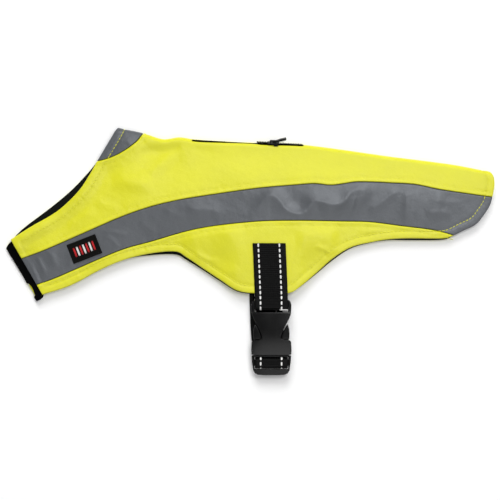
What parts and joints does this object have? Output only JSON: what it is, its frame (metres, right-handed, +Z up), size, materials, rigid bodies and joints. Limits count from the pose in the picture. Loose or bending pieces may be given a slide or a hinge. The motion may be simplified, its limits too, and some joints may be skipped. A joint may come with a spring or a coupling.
{
  "type": "dog safety vest",
  "caption": "High-visibility dog vest with reflective bands, folded along its spine and laid flat on its side, belly strap buckled and leash slit zipped.",
  "frame": {"origin": "middle of the box's base: the surface that the folded vest lies on", "axes": "+Z up off the surface, +Y towards the spine fold, +X towards the tail hem, -X the chest"},
  "size_m": [0.3711, 0.1881, 0.0108],
  "materials": {
    "yellow_cloth": "woven polyester, fluorescent yellow, slight sheen",
    "reflective_cloth": "grey retroreflective tape, satin",
    "lining_cloth": "black woven lining, matt",
    "loop_tape": "black brushed loop tape, matt",
    "label_cloth": "black woven label, bare",
    "zip_tape": "black zip tape with coil teeth",
    "slider_metal": "black painted zinc, satin",
    "webbing": "black polyester webbing with white reflective threads",
    "buckle_plastic": "black moulded acetal, satin"
  },
  "bodies": {
    "vest": {"back_panel": "yellow_cloth", "near_flank": "yellow_cloth", "far_flank": "yellow_cloth", "closure_tab": "yellow_cloth", "collar_patch": "reflective_cloth", "near_band": "reflective_cloth", "far_band": "reflective_cloth", "lining": "lining_cloth", "closure_loop": "loop_tape", "label": "label_cloth", "zip_strip": "zip_tape", "zip_slider": "slider_metal", "near_strap": "webbing", "far_strap": "webbing", "buckle_socket": "buckle_plastic", "buckle_prongs": "buckle_plastic"},
    "pull": {"zip_pull": "slider_metal"}
  },
  "joints": [
    {"name": "zip_pull_hinge", "type": "hinge", "parent": "vest", "child": "pull", "pos_m": [0.01743, 0.08322, 0.00551], "axis": [-0.0097, -0.4129, 0.9107], "range_deg": [-12, 155]}
  ]
}
